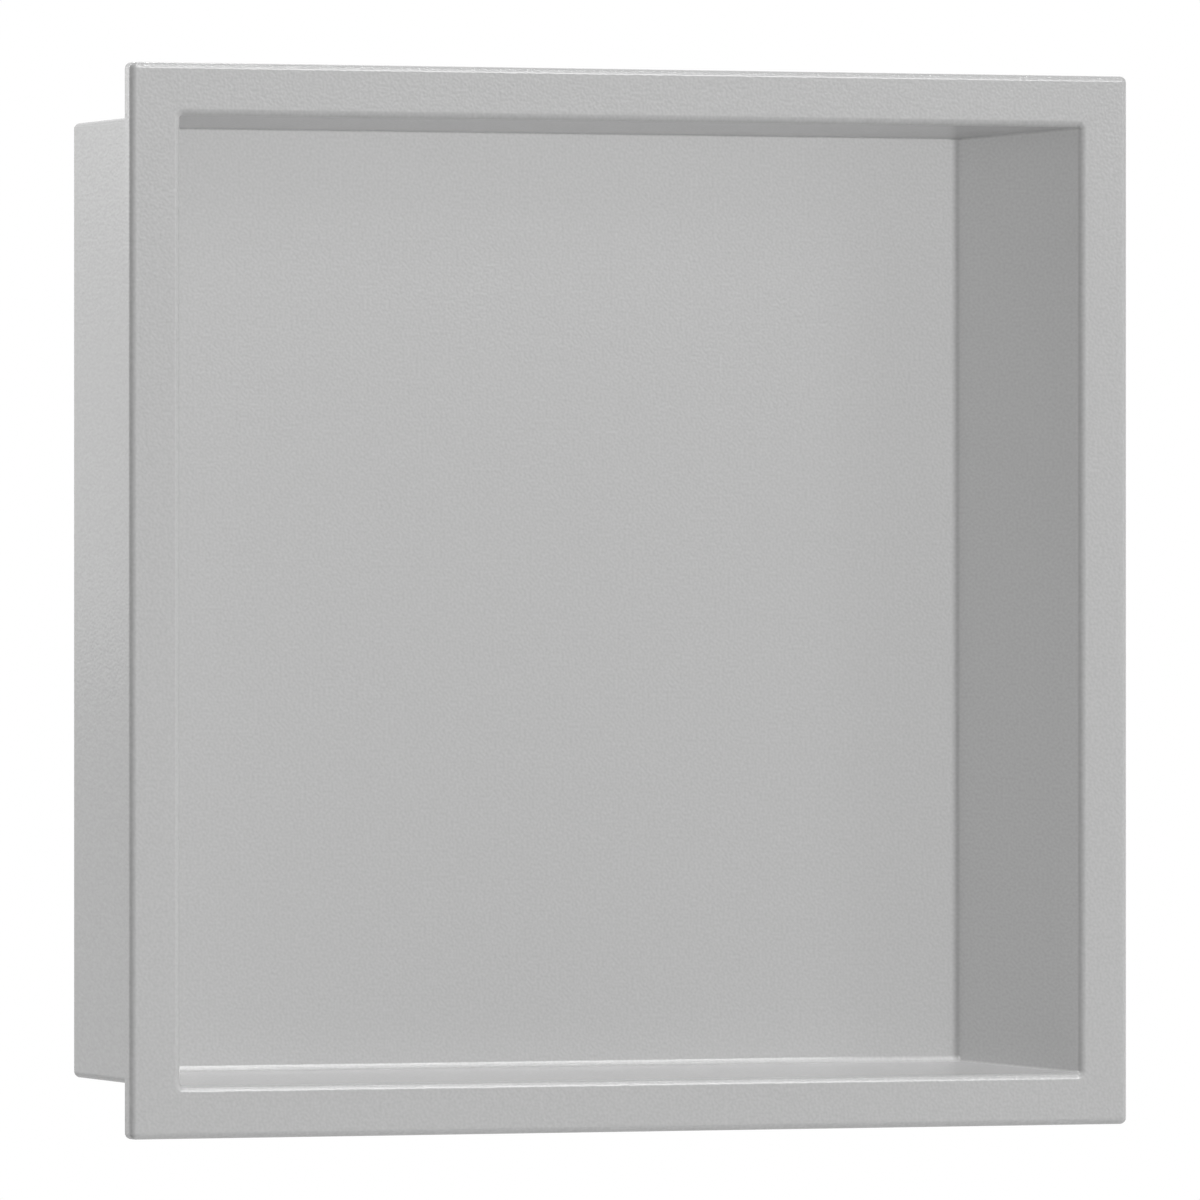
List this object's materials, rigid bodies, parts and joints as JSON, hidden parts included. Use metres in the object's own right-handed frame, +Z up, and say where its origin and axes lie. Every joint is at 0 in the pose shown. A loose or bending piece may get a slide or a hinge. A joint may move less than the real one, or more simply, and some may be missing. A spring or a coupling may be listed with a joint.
{
  "type": "shower niche insert",
  "caption": "Square open-fronted box of folded, welded and powder-coated sheet steel with a raised flat frame round its opening, set into a shower wall as a recessed shelf.",
  "frame": {"origin": "centre of the opening, on the plane of the finished wall, where the rim of the frame seats", "axes": "+X to the right as seen from the room, +Y into the wall, +Z up"},
  "size_m": [0.3328, 0.1062, 0.3328],
  "materials": {
    "powder_coat": "matte"
  },
  "bodies": {
    "root": {"niche_body": "powder_coat"}
  },
  "joints": []
}
